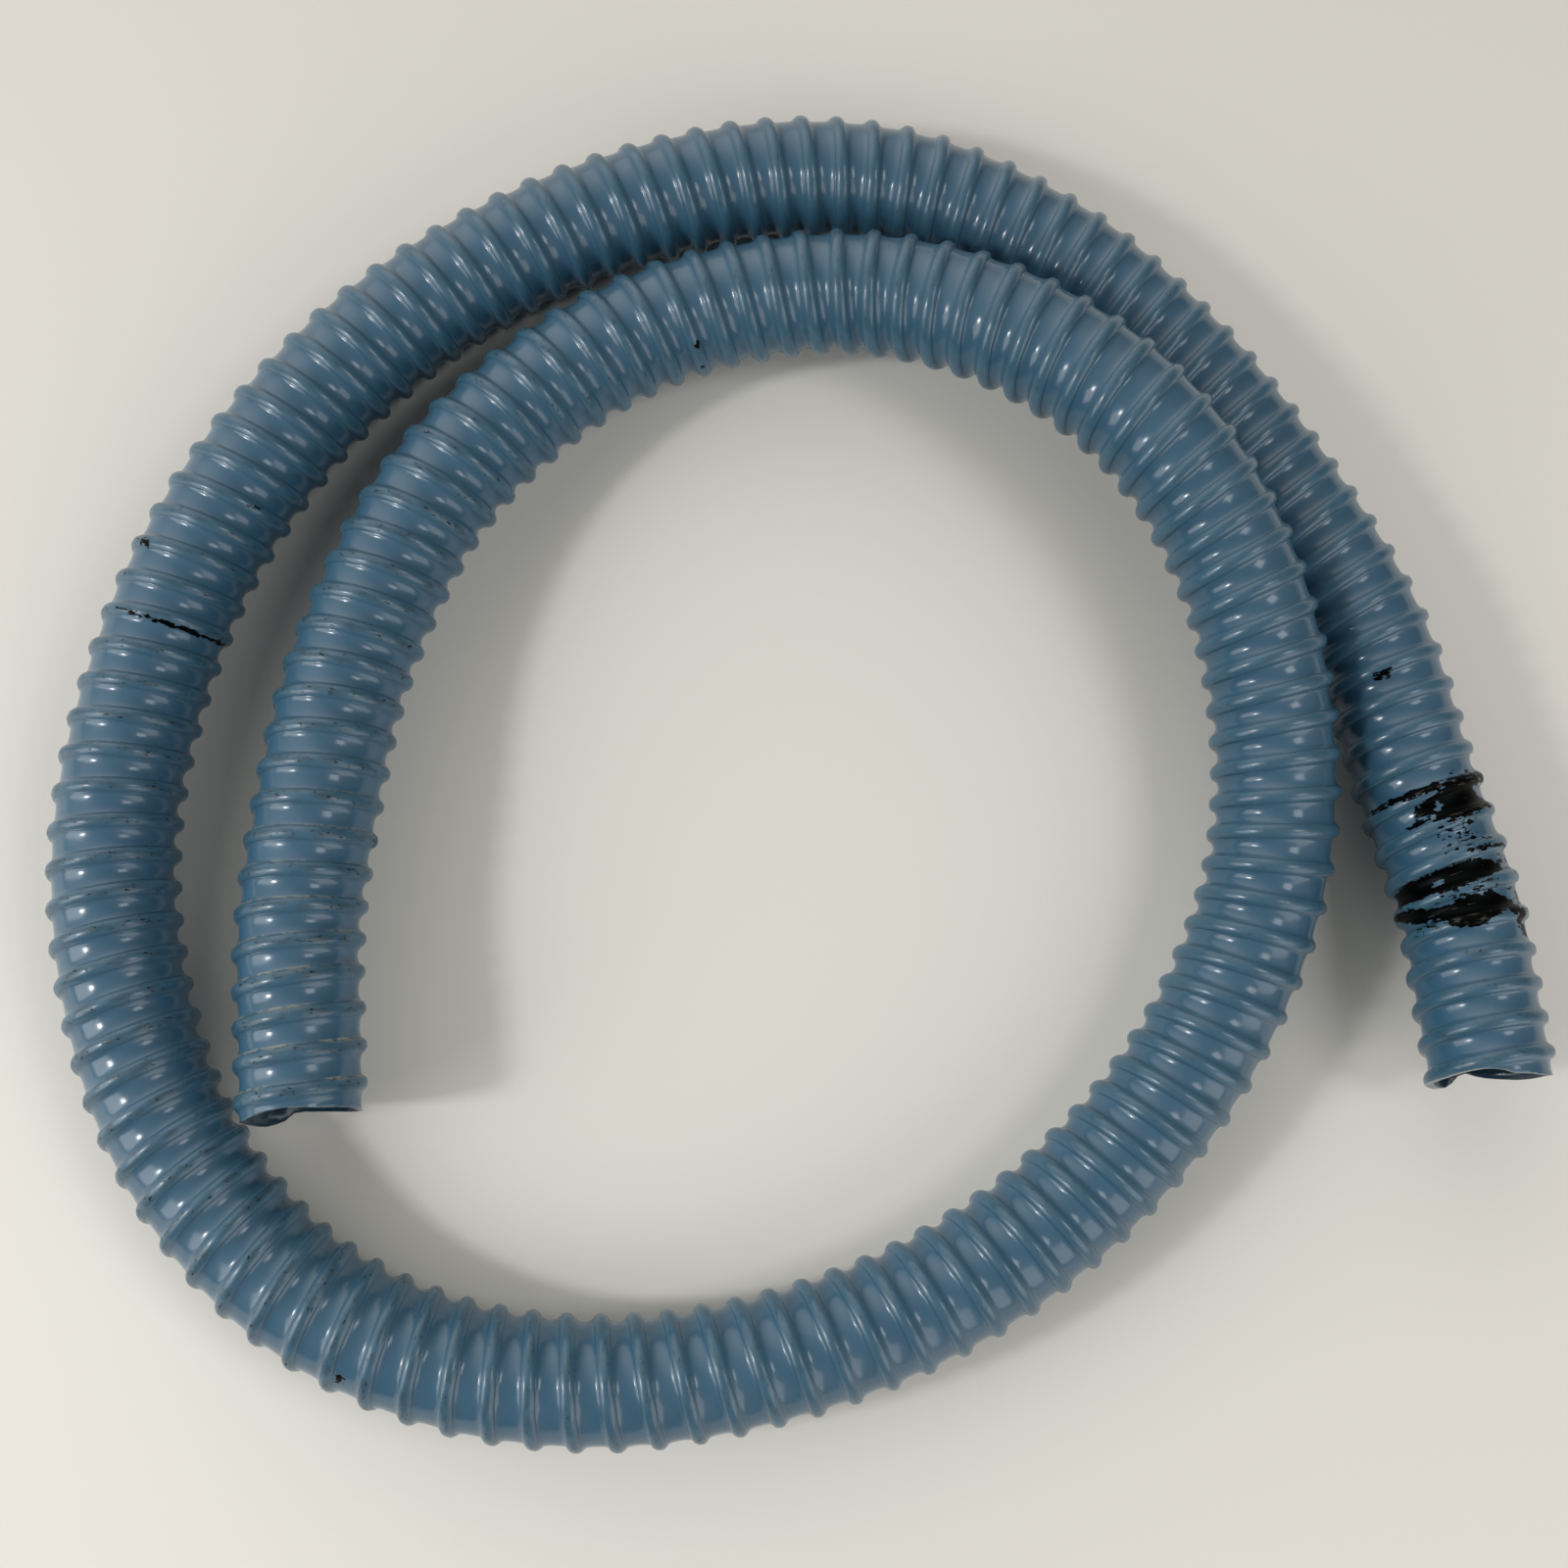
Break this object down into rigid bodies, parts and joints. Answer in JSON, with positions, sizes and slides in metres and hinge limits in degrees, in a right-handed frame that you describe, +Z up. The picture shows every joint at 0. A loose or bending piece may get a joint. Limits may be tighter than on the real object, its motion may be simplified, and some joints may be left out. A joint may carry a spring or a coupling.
{
  "type": "vacuum hose",
  "caption": "Bare flexible vacuum hose with a smooth bore and a raised spiral rib, cut square at both ends and lying loosely curled.",
  "frame": {"origin": "on the surface that the hose lies on, under the middle of the whole part", "axes": "+X along the longer side of the curled hose, +Z up from the surface; both cut ends face about -Y"},
  "size_m": [0.4239, 0.3916, 0.0592],
  "materials": {
    "soft_wall": "glossy soft vinyl",
    "helix": "glossy hard vinyl"
  },
  "bodies": {
    "root": {"wall_run": "soft_wall", "wall_outer_end": "soft_wall", "wall_inner_end": "soft_wall", "helix_run": "helix", "helix_outer_end": "helix", "helix_inner_end": "helix"}
  },
  "joints": []
}
